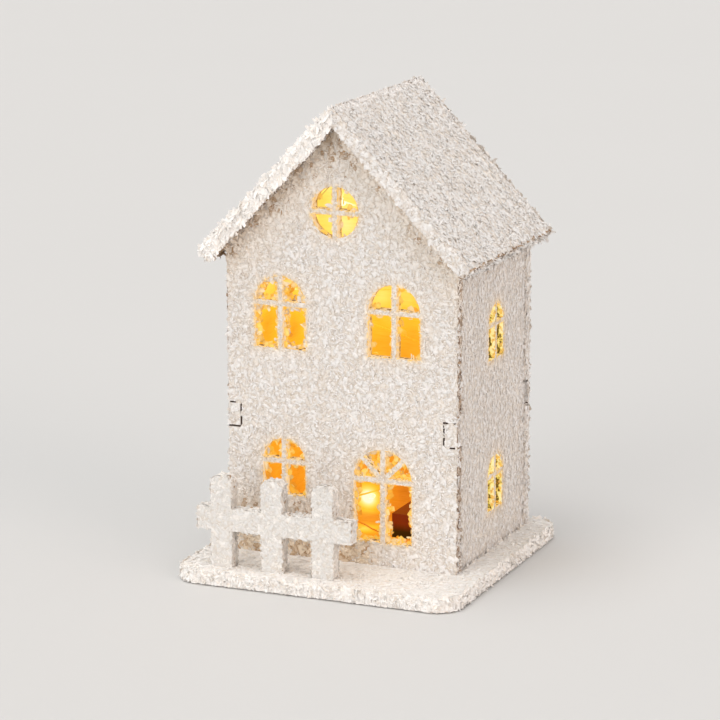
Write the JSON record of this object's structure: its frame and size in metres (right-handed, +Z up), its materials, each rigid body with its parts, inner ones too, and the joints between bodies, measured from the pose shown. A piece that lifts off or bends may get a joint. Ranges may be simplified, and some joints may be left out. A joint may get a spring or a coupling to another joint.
{
  "type": "lighted christmas house",
  "caption": "Two-storey gabled plywood house with arched windows, paper snow, a picket fence and a battery light string inside.",
  "frame": {"origin": "under the middle of the base plate, on the surface that the house stands on", "axes": "+Z up, -Y towards the front with the fence and the door window, +X to the right seen from the front"},
  "size_m": [0.133, 0.136, 0.2119],
  "materials": {
    "plywood": "raw laser-cut plywood with burnt edges",
    "snow": "loose curled flakes, glued on, matt",
    "case_plastic": "moulded, fine texture",
    "steel": "plated",
    "cell": "bright stamped steel",
    "lead": "smooth insulation",
    "wire": "lacquered copper",
    "lamp": "clear resin drop, lit",
    "glue": "hot glue"
  },
  "bodies": {
    "house": {"base_plate": "plywood", "front_wall": "plywood", "back_wall": "plywood", "left_wall": "plywood", "right_wall": "plywood", "roof_left": "plywood", "roof_right": "plywood", "fence": "plywood", "snow_base": "snow", "snow_front": "snow", "snow_back": "snow", "snow_left": "snow", "snow_right": "snow", "snow_roof_left": "snow", "snow_roof_right": "snow", "snow_fence": "snow", "battery_case": "case_plastic", "cell_contact_top": "steel", "cell_contact_side": "steel", "switch_body": "steel", "coin_cell_lower": "cell", "coin_cell_upper": "cell", "battery_lead": "lead", "light_wire": "wire", "lamp_1": "lamp", "lamp_2": "lamp", "lamp_3": "lamp", "lamp_4": "lamp", "lamp_5": "lamp", "lamp_6": "lamp", "lamp_7": "lamp", "lamp_8": "lamp", "glue_dab_floor": "glue", "glue_dab_right": "glue", "glue_dab_back": "glue", "glue_dab_left": "glue"},
    "lid": {"battery_lid": "case_plastic", "lid_screw": "steel"},
    "knob": {"switch_knob": "case_plastic"}
  },
  "joints": [
    {"name": "battery_lid_off", "type": "slide", "parent": "house", "child": "lid", "axis": [0, 0, -1], "range_m": [0, 0.025]},
    {"name": "switch_slide", "type": "slide", "parent": "house", "child": "knob", "axis": [0, 1, 0], "range_m": [0, 0.0026]}
  ]
}
